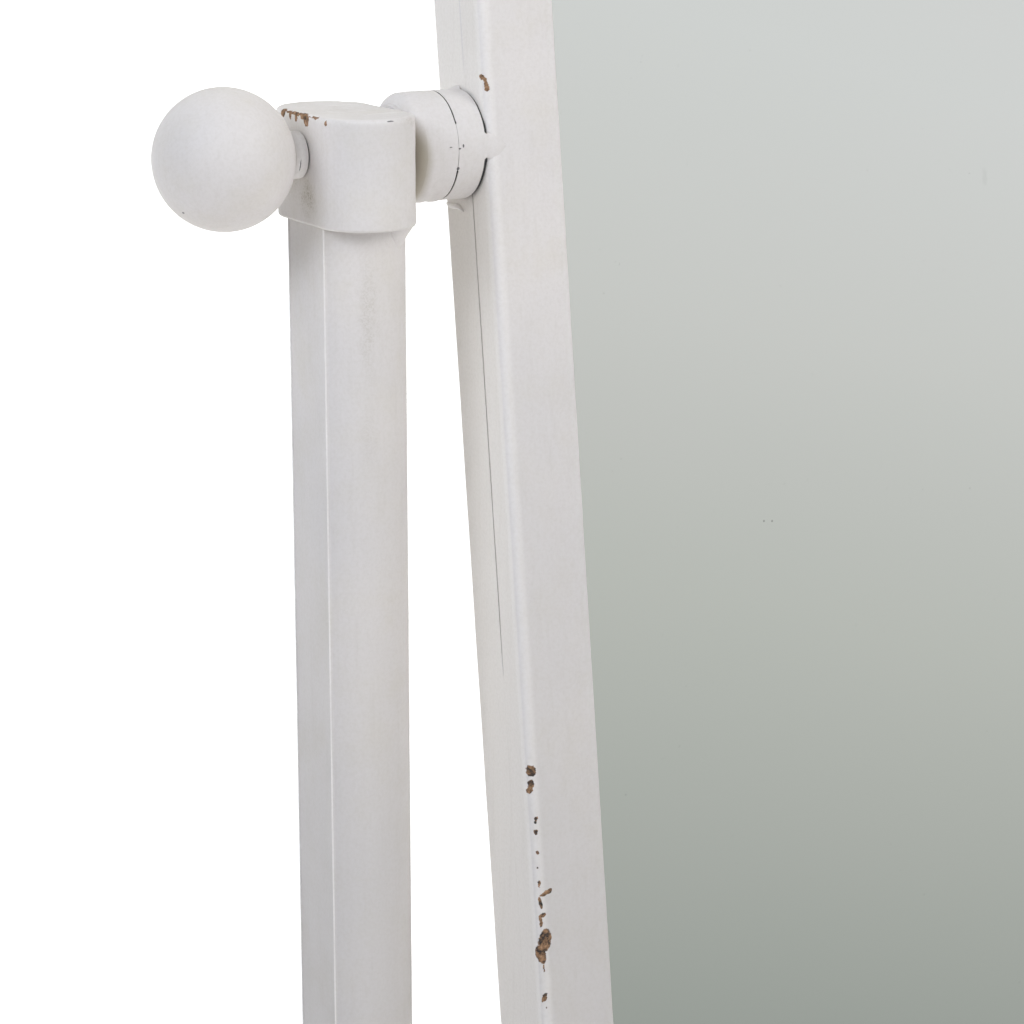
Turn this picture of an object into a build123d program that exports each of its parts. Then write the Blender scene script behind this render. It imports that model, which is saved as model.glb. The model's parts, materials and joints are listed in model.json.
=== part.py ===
from build123d import *
import os
from math import cos, radians, sin, sqrt

os.makedirs("parts", exist_ok=True)

# A cheval floor mirror: a steel-framed glass that tilts between two posts and is clamped there by
# ball knobs. Millimetres, +Z up, -Y towards the person in front of the glass. The origin is on the
# floor, midway between the posts. The mirror leans back a little, which is its rest position.

# ---- driving dimensions ----
# tilting mirror: lengths in its own plane, depths ahead of (+) or behind (-) the tilt axis
mirror_width = 600.0
mirror_above_axis = 705.0
mirror_below_axis = 745.0
axis_height = 900.0
rest_tilt = 7.4
front_depth = 17.4
seam_depth = 5.0
moulding_width = 26.9
moulding_wall = 1.5
moulding_edge_radius = 2.0
lip_width = 6.9
lip_thickness = 3.4
lip_edge_radius = 0.8
tube_size = 19.0
tube_wall = 1.5
tube_edge_radius = 1.5
glass_thickness = 4.0
glass_clearance = 1.0

# posts: a round tube pressed flat on its inner and outer sides
post_radius = 19.0
post_half_flat = 14.1
post_wall = 2.0
post_to_mirror = 41.7
cap_width = 31.2
cap_depth = 59.4
cap_above_axis = 13.0
cap_below_axis = 21.8
cap_socket = 12.0
cap_edge_radius = 1.0

# pivot hardware, measured along the tilt axis from the post's centre line
stud_radius = 4.0
running_gap = 0.05
stud_in_knob = 8.0
stud_in_boss = 9.2
knob_radius = 22.4
knob_centre = 41.75
ferrule_radius = 7.45
ferrule_edge_radius = 0.6
knob_washer = 0.4
knob_washer_radius = 6.4
collar_radius = 17.6
collar_shoulder = 3.5
collar_end = 31.2
friction_washer = 0.6
friction_washer_radius = 15.5
boss_spigot = 0.4
boss_spigot_radius = 15.0

# base
foot_length = 458.0
foot_width = 30.0
foot_height = 40.0
foot_wall = 2.0
foot_corner_radius = 4.0
end_cap_thickness = 6.0
end_cap_edge_radius = 3.0
pad_height = 12.0
pad_radius = 14.0
pad_taper = 6.0
pad_setback = 24.0
bolt_gap = 0.2
bolt_head_across = 13.0
bolt_head_height = 5.3
plug_gap = 0.1
post_plug_length = 22.0
stretcher_height = 110.0
stretcher_radius = 12.5
stretcher_wall = 1.5
stretcher_plug_length = 25.0
bolt_in_plug = 18.0

# clips that hold the backing board in the moulding
clip_width = 16.0
clip_leg = 11.0
clip_sheet = 1.2
clip_hole = 6.5
screw_radius = 1.5
screw_length = 5.0
screw_head_radius = 2.8
screw_head = 1.6
side_clips = (-520.0, 0.0, 480.0)
end_clips = (-150.0, 150.0)

# ---- derived places ----
sides = {"left": -1, "right": 1}
post_x = mirror_width / 2 + post_to_mirror
cap_half = cap_width / 2
boss_start = collar_end + friction_washer
boss_rim = post_to_mirror - boss_spigot
knob_flat = knob_centre - sqrt(knob_radius**2 - ferrule_radius**2)
ferrule_face = cap_half + knob_washer
turning_hole = stud_radius + running_gap
fixed_hole = stud_radius + bolt_gap
foot_top = pad_height + foot_height
post_top = axis_height - cap_below_axis + cap_socket
back_depth = seam_depth - tube_size
lip_back = front_depth - lip_thickness
board_thickness = lip_back - glass_thickness - seam_depth
rabbet_inset = moulding_width - lip_width
glass_inset = rabbet_inset + glass_clearance

# the mirror's own plane: x to the right, y up the glass, z out of the glass
tilt = radians(rest_tilt)
mirror_plane = Plane(origin=(0, 0, axis_height), x_dir=(1, 0, 0), z_dir=(0, -cos(tilt), sin(tilt)))


def save(name, builder):
    """Label a finished piece and write its file."""
    builder.part.label = name
    export_step(builder.part, f"parts/{name}.step")


def post_plane(side, height):
    """A level plane on a post's centre line."""
    return Plane(origin=(sides[side] * post_x, 0, height))


def axis_plane(side, distance, height=axis_height):
    """A plane square to the tilt axis, a distance in from a post's centre line, facing inwards."""
    inward = -sides[side]
    start = (sides[side] * post_x + inward * distance, 0, height)
    return Plane(origin=start, x_dir=(0, 1, 0), z_dir=(inward, 0, 0))


def ring(side, start, end, outer, inner, height=axis_height):
    """A round piece on the tilt axis, or on a parallel one lower down, with a bore through it."""
    with BuildPart() as piece:
        with BuildSketch(axis_plane(side, start, height)):
            Circle(outer)
            if inner:
                Circle(inner, mode=Mode.SUBTRACT)
        extrude(amount=end - start)
    return piece


def drill(side, start, end, radius, height=axis_height):
    """Bore the part being built, parallel to the tilt axis."""
    with Locations(axis_plane(side, start, height)):
        Cylinder(radius, end - start, align=(Align.CENTER, Align.CENTER, Align.MIN), mode=Mode.SUBTRACT)


def rim(builder, plane):
    """The round edge of the part being built that lies nearest to a plane's origin."""
    return builder.edges().filter_by(GeomType.CIRCLE).sort_by_distance(plane.origin)[0]


def flattened_round(inset=0.0):
    """Draw the post's outline, moved inwards by an inset."""
    Circle(post_radius - inset)
    Rectangle(2 * (post_half_flat - inset), 2 * post_radius, mode=Mode.INTERSECT)


# ---- posts, caps and pivot hardware ----
def make_post(side):
    with BuildPart() as post:
        with BuildSketch(post_plane(side, foot_top)):
            flattened_round()
            offset(amount=-post_wall, kind=Kind.INTERSECTION, mode=Mode.SUBTRACT)
        extrude(amount=post_top - foot_top)
        drill(side, -post_radius, post_radius, fixed_hole, stretcher_height)
    return post


def make_cap(side):
    underside = axis_height - cap_below_axis
    with BuildPart() as cap:
        with BuildSketch(post_plane(side, underside)):
            SlotOverall(cap_depth, cap_width, rotation=90)
        extrude(amount=cap_below_axis + cap_above_axis)
        rims = cap.faces().sort_by(Axis.Z)
        fillet(rims[0].edges() + rims[-1].edges(), radius=cap_edge_radius)
        with BuildSketch(post_plane(side, underside)):
            flattened_round()
        extrude(amount=cap_socket, mode=Mode.SUBTRACT)
        drill(side, -cap_half, cap_half, turning_hole)
    return cap


def make_collar(side):
    with BuildPart() as collar:
        with BuildSketch(axis_plane(side, cap_half)):
            Circle(collar_radius)
        extrude(amount=collar_end - cap_half)
        fillet(rim(collar, axis_plane(side, cap_half)), radius=collar_shoulder)
        drill(side, cap_half, collar_end, turning_hole)
    return collar


def make_boss(side):
    with BuildPart() as boss:
        with BuildSketch(axis_plane(side, boss_start)):
            Circle(collar_radius)
        extrude(amount=boss_rim - boss_start)
        with BuildSketch(axis_plane(side, boss_rim)):
            Circle(boss_spigot_radius)
        extrude(amount=boss_spigot)
        drill(side, boss_start, post_to_mirror, turning_hole)
    return boss


def make_knob(side):
    with BuildPart() as knob:
        with Locations(axis_plane(side, -knob_centre)):
            Sphere(knob_radius)
        with BuildSketch(axis_plane(side, -knob_flat)):
            Circle(knob_radius)
        extrude(amount=knob_radius, mode=Mode.SUBTRACT)
        drill(side, -knob_centre - stud_in_knob, -knob_flat, stud_radius)
    return knob


def make_ferrule(side):
    with BuildPart() as ferrule:
        with BuildSketch(axis_plane(side, -knob_flat)):
            Circle(ferrule_radius)
        extrude(amount=knob_flat - ferrule_face)
        fillet(rim(ferrule, axis_plane(side, -ferrule_face)), radius=ferrule_edge_radius)
        drill(side, -knob_flat, -ferrule_face, turning_hole)
    return ferrule


for side in sides:
    save(f"{side}_post_tube", make_post(side))
    save(f"{side}_post_cap", make_cap(side))
    save(f"{side}_fixed_collar", make_collar(side))
    save(f"{side}_frame_boss", make_boss(side))
    save(f"{side}_ball_knob", make_knob(side))
    save(f"{side}_knob_ferrule", make_ferrule(side))
    stud = ring(side, -knob_centre - stud_in_knob, boss_start + stud_in_boss, stud_radius, 0)
    knob_seat = ring(side, -ferrule_face, -cap_half, knob_washer_radius, turning_hole)
    mirror_seat = ring(side, collar_end, boss_start, friction_washer_radius, turning_hole)
    save(f"{side}_pivot_stud", stud)
    save(f"{side}_knob_washer", knob_seat)
    save(f"{side}_friction_washer", mirror_seat)


# ---- feet ----
def foot_plane(side, distance):
    """A plane square to a foot's length, facing the back."""
    middle = (sides[side] * post_x, distance, pad_height + foot_height / 2)
    return Plane(origin=middle, x_dir=(1, 0, 0), z_dir=(0, 1, 0))


def make_foot(side):
    with BuildPart() as foot:
        with BuildSketch(foot_plane(side, -foot_length / 2)):
            RectangleRounded(foot_width, foot_height, foot_corner_radius)
            offset(amount=-foot_wall, mode=Mode.SUBTRACT)
        extrude(amount=foot_length)
        with BuildSketch(post_plane(side, pad_height)):
            Circle(fixed_hole)
        extrude(amount=foot_height, mode=Mode.SUBTRACT)
    return foot


def make_end_caps(side):
    with BuildPart() as caps:
        for end in (-1, 1):
            with BuildSketch(foot_plane(side, end * foot_length / 2)):
                RectangleRounded(foot_width, foot_height, foot_corner_radius)
            extrude(amount=end * end_cap_thickness)
        rims = caps.faces().filter_by(Axis.Y).sort_by(Axis.Y)
        fillet(rims[0].edges() + rims[-1].edges(), radius=end_cap_edge_radius)
    return caps


def make_pads(side):
    reach = foot_length / 2 - pad_setback
    with BuildPart() as pads:
        with BuildSketch(post_plane(side, 0)):
            with Locations((0, -reach), (0, reach)):
                Circle(pad_radius)
        extrude(amount=pad_height, taper=pad_taper)
    return pads


for side in sides:
    save(f"{side}_foot_bar", make_foot(side))
    save(f"{side}_foot_end_caps", make_end_caps(side))
    save(f"{side}_foot_pads", make_pads(side))

with BuildPart() as post_plugs:
    for side in sides:
        with BuildSketch(post_plane(side, foot_top)):
            flattened_round(post_wall + plug_gap)
            Circle(stud_radius, mode=Mode.SUBTRACT)
        extrude(amount=post_plug_length)
save("post_plugs", post_plugs)

with BuildPart() as post_bolts:
    for side in sides:
        with BuildSketch(post_plane(side, pad_height)):
            RegularPolygon(bolt_head_across / 2, 6, major_radius=False)
        extrude(amount=-bolt_head_height)
        with BuildSketch(post_plane(side, pad_height)):
            Circle(stud_radius)
        extrude(amount=foot_height + bolt_in_plug)
save("post_bolts", post_bolts)

# ---- stretcher between the posts ----
stretcher_length = 2 * (post_x - post_half_flat)
stretcher = ring("left", post_half_flat, post_half_flat + stretcher_length, stretcher_radius,
                 stretcher_radius - stretcher_wall, stretcher_height)
save("stretcher_tube", stretcher)

with BuildPart() as stretcher_plugs:
    for side in sides:
        with BuildSketch(axis_plane(side, post_half_flat, stretcher_height)):
            Circle(stretcher_radius - stretcher_wall - plug_gap)
            Circle(stud_radius, mode=Mode.SUBTRACT)
        extrude(amount=stretcher_plug_length)
save("stretcher_plugs", stretcher_plugs)

with BuildPart() as stretcher_bolts:
    for side in sides:
        with BuildSketch(axis_plane(side, -post_half_flat, stretcher_height)):
            RegularPolygon(bolt_head_across / 2, 6, major_radius=False)
        extrude(amount=-bolt_head_height)
        with BuildSketch(axis_plane(side, -post_half_flat, stretcher_height)):
            Circle(stud_radius)
        extrude(amount=2 * post_half_flat + bolt_in_plug)
save("stretcher_bolts", stretcher_bolts)


# ---- mirror: moulding in front, square tube behind, glass and board between ----
edges = ("bottom", "right", "top", "left")


def corners(inset):
    """The mirror's four corners, moved inwards, anticlockwise from the lower left."""
    across = mirror_width / 2 - inset
    low = inset - mirror_below_axis
    high = mirror_above_axis - inset
    return [(-across, low), (across, low), (across, high), (-across, high)]


def mitred_strip(edge, outer_inset, inner_inset):
    """Draw the strip of the mirror's outline along one edge, with mitred ends."""
    start = edges.index(edge)
    end = (start + 1) % 4
    outer = corners(outer_inset)
    inner = corners(inner_inset)
    Polygon(outer[start], outer[end], inner[end], inner[start], align=None)


def strip_edge(edge, inset, depth):
    """The middle of a strip's edge, for choosing that edge of the solid."""
    start = corners(inset)[edges.index(edge)]
    end = corners(inset)[(edges.index(edge) + 1) % 4]
    middle = ((start[0] + end[0]) / 2, (start[1] + end[1]) / 2, depth)
    return mirror_plane.from_local_coords(Vector(*middle))


def make_moulding(edge):
    with BuildPart() as moulding:
        with BuildSketch(mirror_plane.offset(seam_depth)):
            mitred_strip(edge, 0, moulding_width)
        extrude(amount=front_depth - seam_depth)
        fillet(moulding.edges().sort_by_distance(strip_edge(edge, 0, front_depth))[0],
               radius=moulding_edge_radius)
        fillet(moulding.edges().sort_by_distance(strip_edge(edge, moulding_width, front_depth))[0],
               radius=lip_edge_radius)
        with BuildSketch(mirror_plane.offset(seam_depth)):
            mitred_strip(edge, rabbet_inset, moulding_width)
        extrude(amount=lip_back - seam_depth, mode=Mode.SUBTRACT)
        with BuildSketch(mirror_plane.offset(seam_depth + moulding_wall)):
            mitred_strip(edge, moulding_wall, rabbet_inset - moulding_wall)
        extrude(amount=front_depth - seam_depth - 2 * moulding_wall, mode=Mode.SUBTRACT)
    return moulding


def clip_planes(edge):
    """Where one edge's clips meet the tube's inner wall behind the board: x to the back, z inwards."""
    first = edges.index(edge)
    start = corners(tube_size)[first]
    end = corners(tube_size)[(first + 1) % 4]
    upright = start[0] == end[0]
    spots = [(start[0], y) for y in side_clips] if upright else [(x, start[1]) for x in end_clips]
    inward = mirror_plane.z_dir.cross(mirror_plane.x_dir * (end[0] - start[0])
                                      + mirror_plane.y_dir * (end[1] - start[1]))
    origins = [mirror_plane.from_local_coords(Vector(*spot, seam_depth)) for spot in spots]
    return [Plane(origin=origin, x_dir=-mirror_plane.z_dir, z_dir=inward) for origin in origins]


def make_rear_tube(edge):
    with BuildPart() as tube:
        with BuildSketch(mirror_plane.offset(back_depth)):
            mitred_strip(edge, 0, tube_size)
        extrude(amount=tube_size)
        for inset in (0, tube_size):
            fillet(tube.edges().sort_by_distance(strip_edge(edge, inset, back_depth))[0],
                   radius=tube_edge_radius)
        with BuildSketch(mirror_plane.offset(back_depth + tube_wall)):
            mitred_strip(edge, tube_wall, tube_size - tube_wall)
        extrude(amount=tube_size - 2 * tube_wall, mode=Mode.SUBTRACT)
        with BuildSketch(*clip_planes(edge)):
            with Locations((clip_hole, 0)):
                Circle(screw_radius)
        extrude(amount=-tube_wall, mode=Mode.SUBTRACT)
    return tube


for edge in edges:
    kind = "rail" if edge in ("top", "bottom") else "stile"
    save(f"{edge}_moulding_{kind}", make_moulding(edge))
    save(f"{edge}_rear_tube_{kind}", make_rear_tube(edge))

all_clips = [plane for edge in edges for plane in clip_planes(edge)]

with BuildPart() as clips:
    for leg, sheet in ((clip_leg, clip_sheet), (clip_sheet, clip_leg)):
        with BuildSketch(*all_clips):
            Rectangle(leg, clip_width, align=(Align.MIN, Align.CENTER))
        extrude(amount=sheet)
    with BuildSketch(*all_clips):
        with Locations((clip_hole, 0)):
            Circle(screw_radius)
    extrude(amount=clip_sheet, mode=Mode.SUBTRACT)
save("board_clips", clips)

with BuildPart() as screws:
    with BuildSketch(*[plane.offset(clip_sheet) for plane in all_clips]):
        with Locations((clip_hole, 0)):
            Circle(screw_head_radius)
    extrude(amount=screw_head)
    with BuildSketch(*[plane.offset(clip_sheet) for plane in all_clips]):
        with Locations((clip_hole, 0)):
            Circle(screw_radius)
    extrude(amount=-screw_length)
save("clip_screws", screws)


def make_sheet(depth, thickness):
    """A flat sheet that fills the moulding's rabbet."""
    with BuildPart() as sheet:
        with BuildSketch(mirror_plane.offset(depth)):
            Polygon(*corners(glass_inset), align=None)
        extrude(amount=thickness)
    return sheet


save("mirror_glass", make_sheet(lip_back - glass_thickness, glass_thickness))
save("backing_board", make_sheet(seam_depth, board_thickness))
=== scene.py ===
import json
from math import atan2, cos, pi, radians, sin, sqrt

import bmesh
import bpy
from mathutils import Matrix, Vector, noise


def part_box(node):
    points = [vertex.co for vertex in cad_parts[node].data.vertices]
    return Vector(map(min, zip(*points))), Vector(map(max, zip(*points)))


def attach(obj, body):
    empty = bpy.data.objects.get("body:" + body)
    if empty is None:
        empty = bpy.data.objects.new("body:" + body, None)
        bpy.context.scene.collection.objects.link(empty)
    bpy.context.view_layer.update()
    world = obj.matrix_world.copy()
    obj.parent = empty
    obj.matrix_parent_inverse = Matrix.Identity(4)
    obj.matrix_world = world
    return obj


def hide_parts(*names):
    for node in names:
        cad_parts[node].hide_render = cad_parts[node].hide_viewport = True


# A cheval floor mirror in worn off-white paint. Sizes are in millimetres and turned into metres as
# each mesh is made. Local names: "out" is the distance along the tilt axis from a post's centre line
# towards the mirror; (across, up, ahead) are lengths in the mirror's own plane from the tilt axis.

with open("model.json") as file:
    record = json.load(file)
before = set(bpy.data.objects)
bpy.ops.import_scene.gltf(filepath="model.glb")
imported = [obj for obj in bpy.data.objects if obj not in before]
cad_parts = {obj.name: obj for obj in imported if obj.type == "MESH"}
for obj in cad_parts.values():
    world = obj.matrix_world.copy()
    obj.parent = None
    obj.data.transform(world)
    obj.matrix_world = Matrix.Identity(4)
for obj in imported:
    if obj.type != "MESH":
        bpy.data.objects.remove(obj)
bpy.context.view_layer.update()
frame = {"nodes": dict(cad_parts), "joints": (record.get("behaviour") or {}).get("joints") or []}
MM = 0.001

# ---- places read from the frame ----


def size_of(node):
    low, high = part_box(node)
    return low / MM, high / MM


tube_low, tube_high = size_of("left_post_tube")
cap_low, cap_high = size_of("left_post_cap")
knob_low, knob_high = size_of("left_ball_knob")
ferrule_low, ferrule_high = size_of("left_knob_ferrule")
collar_low, collar_high = size_of("left_fixed_collar")
boss_low, boss_high = size_of("left_frame_boss")
foot_low, foot_high = size_of("left_foot_bar")
end_low, end_high = size_of("left_foot_end_caps")
pad_low, pad_high = size_of("left_foot_pads")
stretcher_low, stretcher_high = size_of("stretcher_tube")

axis_point = Vector(frame["joints"][0]["pos_m"]) / MM
axis_height = axis_point.z
post_x = -(tube_low.x + tube_high.x) / 2
post_radius = (tube_high.y - tube_low.y) / 2
post_half_flat = (tube_high.x - tube_low.x) / 2
cap_half = (cap_high.x - cap_low.x) / 2
cap_reach = (cap_high.y - cap_low.y) / 2 - cap_half
knob_radius = (knob_high.z - knob_low.z) / 2
knob_out = knob_low.x + knob_radius + post_x
ferrule_radius = (ferrule_high.z - ferrule_low.z) / 2
ferrule_near = ferrule_high.x + post_x
ferrule_far = ferrule_low.x + post_x
collar_radius = (collar_high.z - collar_low.z) / 2
collar_start = collar_low.x + post_x
collar_end = collar_high.x + post_x
boss_start = boss_low.x + post_x
boss_end = boss_high.x + post_x

# the mirror in its own plane, as the CAD draws it
rest_tilt = radians(7.4)
half_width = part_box("top_moulding_rail")[1].x / MM
above_axis = 705.0
below_axis = 745.0
front_ahead = 17.4
seam_ahead = 5.0
tube_size = 19.0
moulding_width = 26.9
lip_width = 6.9
lip_thickness = 3.4

stud_bore = 4.05

sides = {"left": -1, "right": 1}


def on_mirror(across, up, ahead):
    """A point in the mirror's own plane, in the row frame, in millimetres."""
    return Vector((across,
                   -ahead * cos(rest_tilt) + up * sin(rest_tilt),
                   axis_height + ahead * sin(rest_tilt) + up * cos(rest_tilt)))


def on_axis(side, out, radius, angle):
    """A point round the tilt axis: angle 0 faces the front and 90 degrees is up."""
    return Vector((sides[side] * (post_x - out), -radius * cos(angle), axis_height + radius * sin(angle)))


def aim(thing, place, looking):
    """Put a camera or a lamp in the scene at a place in metres, facing along a direction."""
    thing.location = place
    thing.rotation_mode = "QUATERNION"
    thing.rotation_quaternion = looking.to_track_quat("-Z", "Y")
    bpy.context.scene.collection.objects.link(thing)


# ---- camera ----
def make_camera():
    """Close on the left pivot, from the front left and a little above."""
    azimuth = radians(29.15)
    drop = radians(14.03)
    distance = 1003.45
    target = Vector((-post_x + 60.2, 0, axis_height - 124.6))
    looking = Vector((sin(azimuth) * cos(drop), cos(azimuth) * cos(drop), -sin(drop)))
    data = bpy.data.cameras.new("camera")
    data.lens = 105.27
    data.sensor_width = 36.0
    data.clip_start = 0.05
    data.clip_end = 60.0
    camera = bpy.data.objects.new("camera", data)
    aim(camera, (target - looking * distance) * MM, looking)
    bpy.context.scene.camera = camera


make_camera()


# ---- node helpers ----
class Nodes:
    """A short way to write a material's nodes."""

    def __init__(self, tree):
        self.tree = tree

    def add(self, kind, inputs=None, **settings):
        node = self.tree.nodes.new(kind)
        for key, value in settings.items():
            setattr(node, key, value)
        for key, value in (inputs or {}).items():
            if isinstance(value, bpy.types.NodeSocket):
                self.tree.links.new(value, node.inputs[key])
            else:
                node.inputs[key].default_value = value
        return node

    def math(self, operation, a, b=0.0, clamp=False):
        return self.add("ShaderNodeMath", {0: a, 1: b}, operation=operation, use_clamp=clamp).outputs[0]

    def noise(self, vector, scale, detail=4.0, roughness=0.55, output="Fac"):
        settings = {"Vector": vector, "Scale": scale, "Detail": detail, "Roughness": roughness}
        return self.add("ShaderNodeTexNoise", settings).outputs[output]

    def attribute(self, name):
        return self.add("ShaderNodeAttribute", attribute_name=name).outputs["Fac"]

    def part(self, vector, axis):
        return self.add("ShaderNodeSeparateXYZ", {0: vector}).outputs[axis]

    def vector(self, operation, a, b, output="Vector"):
        return self.add("ShaderNodeVectorMath", {0: a, 1: b}, operation=operation).outputs[output]

    def stretch(self, vector, scale):
        return self.add("ShaderNodeMapping", {"Vector": vector, "Scale": scale}).outputs[0]

    def ramp(self, factor, low, high, out_low=0.0, out_high=1.0):
        settings = {0: factor, 1: low, 2: high, 3: out_low, 4: out_high}
        return self.add("ShaderNodeMapRange", settings, interpolation_type="SMOOTHSTEP").outputs[0]

    def mix(self, factor, a, b):
        """Go from a to b, each a colour or a socket."""
        a, b = ((*c, 1.0) if isinstance(c, tuple) else c for c in (a, b))
        return self.add("ShaderNodeMix", {0: factor, 6: a, 7: b}, data_type="RGBA").outputs[2]

    def tint(self, colour, other, *ramp):
        """Mix another colour in by a ramp."""
        return self.mix(self.ramp(*ramp), colour, other)

    def colours(self, factor, stops):
        node = self.add("ShaderNodeValToRGB", {0: factor})
        while len(node.color_ramp.elements) < len(stops):
            node.color_ramp.elements.new(0.5)
        for element, (place, colour) in zip(node.color_ramp.elements, stops):
            element.position = place
            element.color = (*colour, 1.0)
        return node.outputs[0]

    def bump(self, height, distance, strength=1.0, normal=None):
        inputs = {"Height": height, "Distance": distance, "Strength": strength}
        if normal is not None:
            inputs["Normal"] = normal
        return self.add("ShaderNodeBump", inputs).outputs[0]

    def finish(self, **sockets):
        """Drive the shader's sockets: base_color=output links to Base Color."""
        shader = self.tree.nodes["Principled BSDF"]
        for name, output in sockets.items():
            self.tree.links.new(output, shader.inputs[name.replace("_", " ").title()])
        return shader


def new_material(name):
    material = bpy.data.materials.new(name)
    material.use_nodes = True
    nodes = Nodes(material.node_tree)
    return material, nodes, nodes.add("ShaderNodeTexCoord").outputs["Object"]


# ---- materials ----
WHITE = (0.735, 0.705, 0.690)
CREAM = (0.700, 0.665, 0.610)
GREY = (0.640, 0.625, 0.630)
# the brown of stains, also used as painted shade in corners
STAIN_AND_SHADE = (0.330, 0.290, 0.215)
# painted shade: the grey that the paint turns to low down
LOW_SHADE = (0.400, 0.390, 0.385)
# thick paint and a painted highlight: the pale paint on marked edges
THICK_PAINT_HIGHLIGHT = (0.900, 0.880, 0.865)
# painted light: the paler paint on faces that look sideways
SIDE_LIGHT = (0.815, 0.785, 0.745)
SCRATCH = (0.050, 0.050, 0.055)
# painted shade: the near black of gaps
GAP_SHADE = (0.030, 0.030, 0.031)
RUST_STOPS = ((0.36, (0.020, 0.020, 0.022)), (0.45, (0.060, 0.042, 0.032)), (0.50, (0.190, 0.105, 0.055)),
              (0.60, (0.330, 0.190, 0.100)), (0.72, (0.500, 0.320, 0.200)))


def paint(name, chips=(), marks=(), stains_and_shade=(), edge_wear=0.0, thick_paint_highlight=0.0, painted_side_light=0.0):
    """Brushed and sanded off-white paint over rusty steel.

    chips and marks are (centre, half sizes, turn) in millimetres, and the turn may be left out: a chip
    shows rusty metal, and a mark is a thin dark scratch. stains_and_shade are (centre, half sizes, strength):
    stains, and on the cap a patch of painted shadow. Without chips, edge_wear is how much of the "edge"
    attribute wears through. thick_paint_highlight is how much paler that attribute makes the paint: thick
    paint, and a painted highlight. painted_side_light is how much paler the paint is on faces that look
    sideways, painted light. Low down the paint turns greyer, painted shade. The "dirt_and_shade" attribute
    browns corners, as dirt and as painted shadow, and darkens gaps with painted shade.
    """
    material, nodes, where = new_material(name)
    coarse = nodes.noise(where, 9.0, 3.0)
    mottle = nodes.noise(where, 60.0, 5.0, 0.6)
    fine = nodes.noise(where, 900.0, 4.0, 0.65)
    brushed = nodes.noise(nodes.stretch(where, (420.0, 420.0, 26.0)), 1.0, 3.0)
    height = nodes.part(where, "Z")

    colour = nodes.tint(WHITE, CREAM, mottle, 0.42, 0.72, 0.0, 0.55)
    colour = nodes.tint(colour, GREY, coarse, 0.40, 0.70, 0.0, 0.5)
    # painted shade: the paint greys below 0.89 m, most at 0.56 m and lower, darker towards the bottom
    colour = nodes.tint(colour, LOW_SHADE, height, 0.56, 0.89, 0.44, 0.0)
    # painted light: faces that look sideways along x are painted paler, though the paint is the same
    if painted_side_light:
        facing = nodes.add("ShaderNodeNewGeometry").outputs["Normal"]
        sideways = nodes.math("ABSOLUTE", nodes.part(facing, "X"))
        colour = nodes.tint(colour, SIDE_LIGHT, sideways, 0.85, 0.98, 0.0, painted_side_light)
    # thick paint and a painted highlight: the edge attribute makes the paint paler
    if thick_paint_highlight:
        colour = nodes.tint(colour, THICK_PAINT_HIGHLIGHT, nodes.attribute("edge"), 0.35, 0.95, 0.0, thick_paint_highlight)
    colour = nodes.tint(colour, STAIN_AND_SHADE, fine, 0.35, 0.75, 0.0, 0.10)
    colour = nodes.tint(colour, STAIN_AND_SHADE, brushed, 0.5, 0.8, 0.0, 0.06)
    if stains_and_shade:
        blotchy = ragged(nodes, where, 4.5, 110.0)
        patchy = nodes.ramp(nodes.noise(where, 1500.0, 3.0, 0.7), 0.42, 0.66, 0.25, 1.0)
    # stains, and on the cap one patch that is the knob's painted shadow
    for centre, half, strength in stains_and_shade:
        mask = nodes.ramp(spot(nodes, blotchy, centre, half), 1.1, 0.2, 0.0, strength)
        colour = nodes.mix(nodes.math("MULTIPLY", mask, patchy), colour, STAIN_AND_SHADE)

    roughness = nodes.ramp(mottle, 0.3, 0.7, 0.42, 0.56)
    texture = nodes.math("ADD", nodes.math("MULTIPLY", fine, 0.5), nodes.math("MULTIPLY", brushed, 0.5))
    normal = nodes.bump(mottle, 0.0006, 0.3, nodes.bump(texture, 0.00012, 0.5))
    if chips or edge_wear:
        worn = worn_through(nodes, where, chips, edge_wear)
        crackle = nodes.noise(where, 560.0, 7.0, 0.72)
        fresher = nodes.math("ADD", crackle, nodes.ramp(height, 0.88, 0.92, 0.0, 0.06))
        colour = nodes.mix(worn, colour, nodes.colours(fresher, RUST_STOPS))
        roughness = nodes.add("ShaderNodeMapRange", {0: worn, 3: roughness, 4: 0.85}).outputs[0]
        normal = nodes.bump(nodes.math("SUBTRACT", 1.0, worn), 0.0004, 1.0, normal)
        normal = nodes.bump(nodes.math("MULTIPLY", crackle, worn), 0.0006, 0.8, normal)

    if marks:
        wavy = ragged(nodes, where, 0.25, 480.0)
    for centre, half, *turn in marks:
        scratch = nodes.ramp(spot(nodes, wavy, centre, half, *turn), 1.15, 0.75, 0.0, 0.88)
        colour = nodes.mix(scratch, colour, SCRATCH)
    # dirt and painted shade: the attribute browns corners, partly as the shadow cast there, and turns gaps
    # near black as painted shade
    grime_and_shade = nodes.attribute("dirt_and_shade")
    colour = nodes.tint(colour, STAIN_AND_SHADE, grime_and_shade, 0.04, 0.42, 0.0, 0.85)
    colour = nodes.tint(colour, GAP_SHADE, grime_and_shade, 0.40, 0.85)
    nodes.finish(base_color=colour, roughness=roughness, normal=normal)
    return material


def worn_through(nodes, where, chips, edge_wear):
    """1 where the paint is gone: in the chips, and in clumps along the edges."""
    torn = ragged(nodes, where, 0.95, 480.0)
    if chips:
        return nodes.ramp(nearest_spot(nodes, torn, chips), 1.05, 0.93)
    clump = nodes.ramp(nodes.noise(torn, 30.0, 7.0, 0.75), 0.45, 0.85)
    rubbed = nodes.math("MULTIPLY", clump, nodes.attribute("edge"))
    return nodes.ramp(rubbed, 1.0 - edge_wear, 1.03 - edge_wear)


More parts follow.
